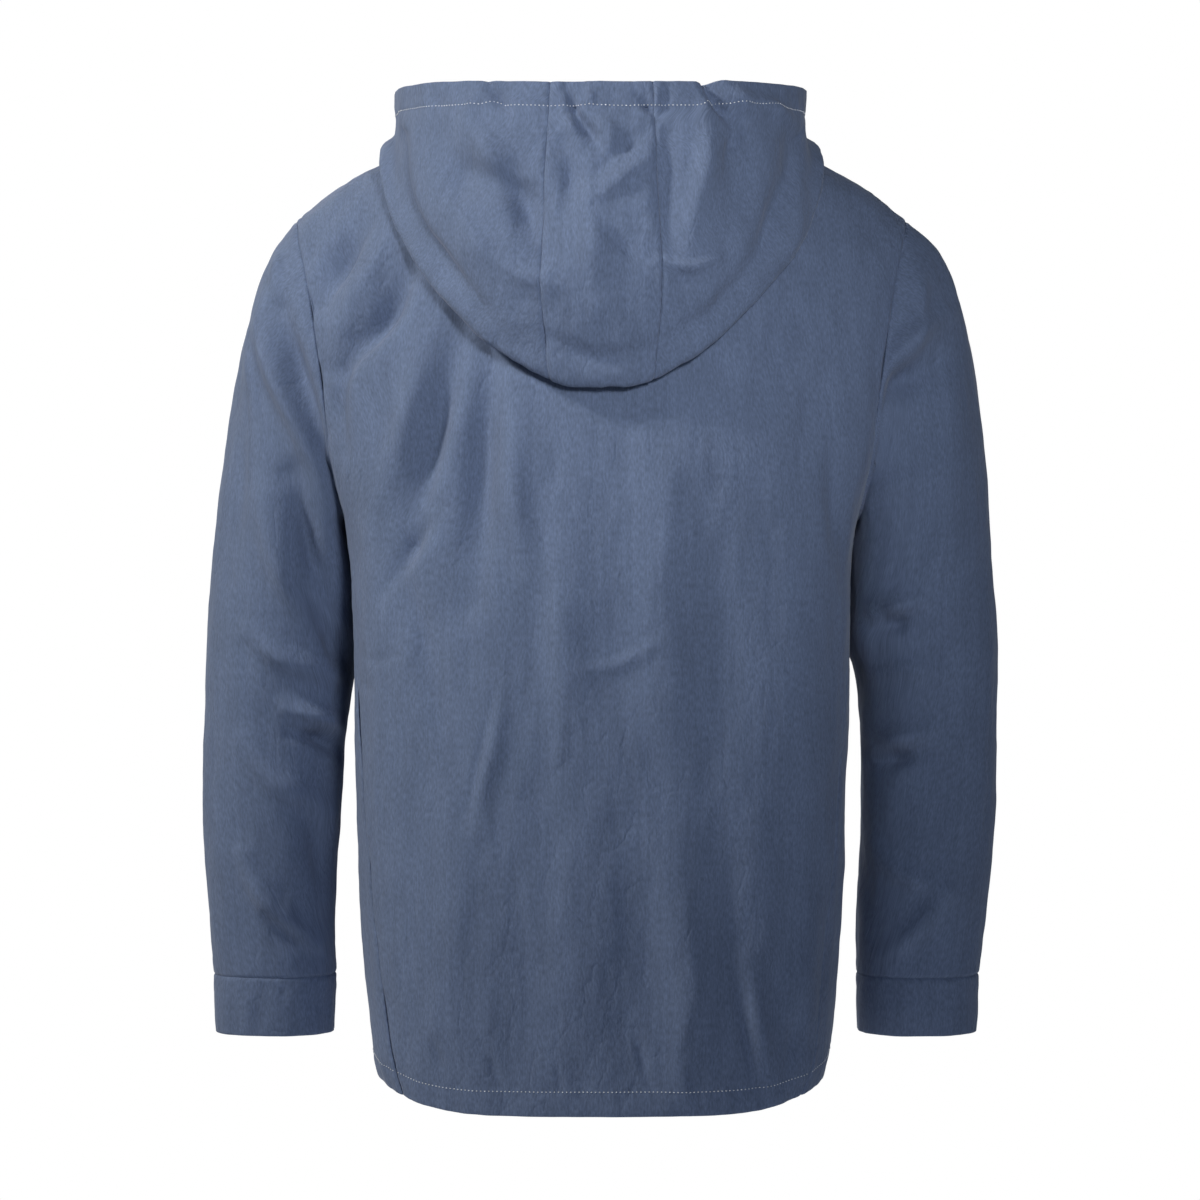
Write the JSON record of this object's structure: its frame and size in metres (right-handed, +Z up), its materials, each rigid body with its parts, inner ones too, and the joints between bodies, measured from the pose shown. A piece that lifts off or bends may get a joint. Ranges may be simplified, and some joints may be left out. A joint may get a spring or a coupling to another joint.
{
  "type": "zip-up hoodie",
  "caption": "Zip-up hoodie in smooth brushed cloth, filled out as worn, with its hood lowered at the back and a hinged zip pull.",
  "frame": {"origin": "middle of the neck opening, where the wearer's shoulders and neck hold the garment up", "axes": "+Z up, +Y behind the wearer, +X to the wearer's left"},
  "size_m": [0.6247, 0.3085, 0.7781],
  "materials": {
    "back": "brushed matt",
    "front_left": "brushed matt",
    "front_right": "brushed matt",
    "sleeve_left": "brushed matt",
    "sleeve_right": "brushed matt",
    "cuff_left": "brushed matt",
    "cuff_right": "brushed matt",
    "hood_center": "brushed matt",
    "hood_left": "brushed matt",
    "hood_right": "brushed matt",
    "zip_tape_left": "woven matt",
    "zip_tape_right": "woven matt",
    "zip_slider": "satin",
    "zip_pull": "satin",
    "zip_box": "satin"
  },
  "bodies": {
    "hoodie": {"back": "back", "front_left": "front_left", "front_right": "front_right", "sleeve_left": "sleeve_left", "sleeve_right": "sleeve_right", "cuff_left": "cuff_left", "cuff_right": "cuff_right", "hood_center": "hood_center", "hood_left": "hood_left", "hood_right": "hood_right", "zip_tape_left": "zip_tape_left", "zip_tape_right": "zip_tape_right", "zip_slider": "zip_slider", "zip_box": "zip_box"},
    "pull_tab": {"zip_pull": "zip_pull"}
  },
  "joints": [
    {"name": "pull_hinge", "type": "hinge", "parent": "hoodie", "child": "pull_tab", "pos_m": [0, -0.104, -0.0668], "axis": [-1, 0, 0], "range_deg": [0, 150]}
  ]
}
